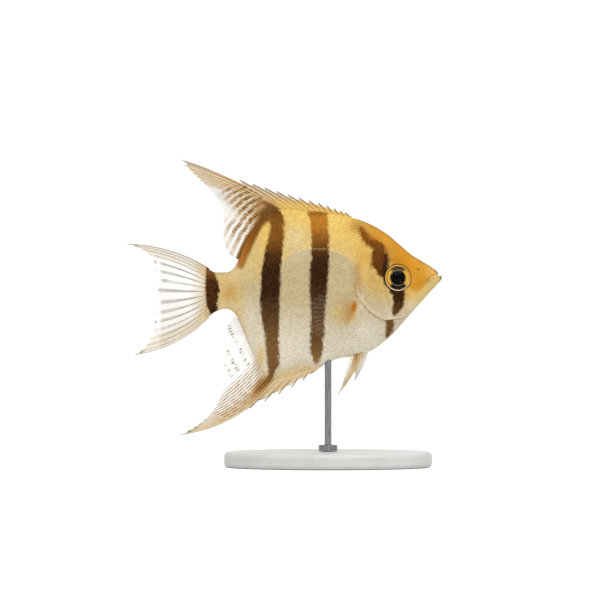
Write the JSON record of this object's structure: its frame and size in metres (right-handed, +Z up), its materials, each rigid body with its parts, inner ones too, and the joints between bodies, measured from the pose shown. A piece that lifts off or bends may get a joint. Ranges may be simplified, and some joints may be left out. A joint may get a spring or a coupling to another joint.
{
  "type": "freshwater angelfish",
  "caption": "Life-size still model of a freshwater angelfish, a tall flat banded fish with long swept fins, held level by a plain rod on an oval base.",
  "frame": {"origin": "middle of the flat underside of the stand's base, on the rod's axis", "axes": "+X to the fish's snout, +Y to its left side, +Z up along the rod"},
  "size_m": [0.1002, 0.04, 0.0977],
  "materials": {
    "gold_skin": "moist scaled fish skin, orange-gold above, dark bar through the eye",
    "silver_skin": "fine-scaled silvery cream fish skin with dark brown upright bars",
    "fin": "thin clear fin skin over tan rays with brown broken bars",
    "eye": "wet eye, black pupil in a gold iris",
    "stand_paint": "plain satin white",
    "steel": "brushed bright steel"
  },
  "bodies": {
    "root": {"head": "gold_skin", "lower_jaw": "silver_skin", "gill_cover_left": "silver_skin", "gill_cover_right": "silver_skin", "trunk": "silver_skin", "tail": "silver_skin", "eye_left": "eye", "eye_right": "eye", "dorsal_fin": "fin", "anal_fin": "fin", "caudal_fin": "fin", "pectoral_fin_left": "fin", "pectoral_fin_right": "fin", "pelvic_fin_left": "fin", "pelvic_fin_right": "fin", "stand_base": "stand_paint", "stand_rod": "steel", "stand_collar": "steel"}
  },
  "joints": []
}
